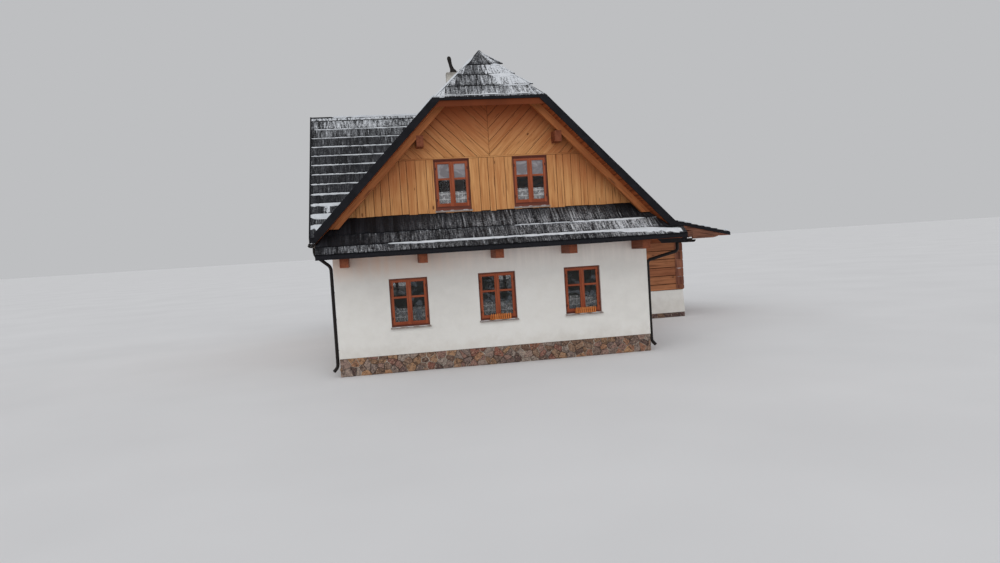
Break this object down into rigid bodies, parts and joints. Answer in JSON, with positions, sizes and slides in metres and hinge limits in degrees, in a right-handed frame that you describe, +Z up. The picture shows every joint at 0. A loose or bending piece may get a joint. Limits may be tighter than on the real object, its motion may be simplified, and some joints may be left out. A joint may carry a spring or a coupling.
{
  "type": "half-hipped mountain farmhouse",
  "caption": "Half-hipped mountain farmhouse: plastered ground floor, boarded gables, shingled pent and main roofs, a cross gable and a log annex under a lean-to.",
  "frame": {"origin": "centre of the main block's footprint at ground level, on the underside of the stone base", "axes": "+X east along the front, towards the annex; +Y north, from the front gable to the rear; +Z up"},
  "size_m": [14.81, 15, 10.043],
  "materials": {
    "rubble_stone": "rough rubble with mortar joints",
    "lime_plaster": "matt lime wash over hand-laid plaster",
    "chimney_render": "light grey render",
    "gable_boards": "honey-coloured glazed spruce boards",
    "timber": "orange-brown glazed timber",
    "logs": "glazed squared logs",
    "joinery": "red-brown painted joinery",
    "shingles": "black tarred wooden shingles",
    "dark_boards": "black stained boards",
    "dark_metal": "black-brown painted sheet metal"
  },
  "bodies": {
    "root": {"annex_log_wall_east": "logs", "annex_log_wall_north": "logs", "annex_log_wall_south": "logs", "annex_plaster_wall": "lime_plaster", "annex_stone_base": "rubble_stone", "chimney_cowl": "dark_metal", "chimney_stack": "chimney_render", "cross_gable_roof_north": "shingles", "cross_gable_roof_south": "shingles", "east_door": "joinery", "east_gutter_and_downpipe": "dark_metal", "east_wall": "lime_plaster", "east_window": "joinery", "floor_beam_1": "timber", "floor_beam_2": "timber", "floor_beam_3_front": "timber", "floor_beam_3_rear": "timber", "floor_beam_4": "timber", "floor_beam_5": "timber", "front_bargeboards": "dark_boards", "front_gable_wall": "gable_boards", "front_gable_window_east": "joinery", "front_gable_window_west": "joinery", "front_half_hip": "shingles", "front_pent_roof": "shingles", "front_verge_rafters": "timber", "front_wall": "lime_plaster", "front_window_east": "joinery", "front_window_middle": "joinery", "front_window_west": "joinery", "lean_to_roof": "shingles", "main_roof_east": "shingles", "main_roof_west": "shingles", "purlin_east": "timber", "purlin_west": "timber", "rear_bargeboards": "dark_boards", "rear_gable_wall": "gable_boards", "rear_gable_window": "joinery", "rear_half_hip": "shingles", "rear_pent_roof": "shingles", "rear_verge_rafters": "timber", "rear_wall": "lime_plaster", "rear_window_east": "joinery", "rear_window_west": "joinery", "stone_base": "rubble_stone", "upper_floor": "timber", "west_bargeboards": "dark_boards", "west_gable_wall": "gable_boards", "west_gable_window": "joinery", "west_gutter_and_downpipe": "dark_metal", "west_verge_rafters": "timber", "west_wall": "lime_plaster", "west_window_north": "joinery", "west_window_south": "joinery"}
  },
  "joints": []
}
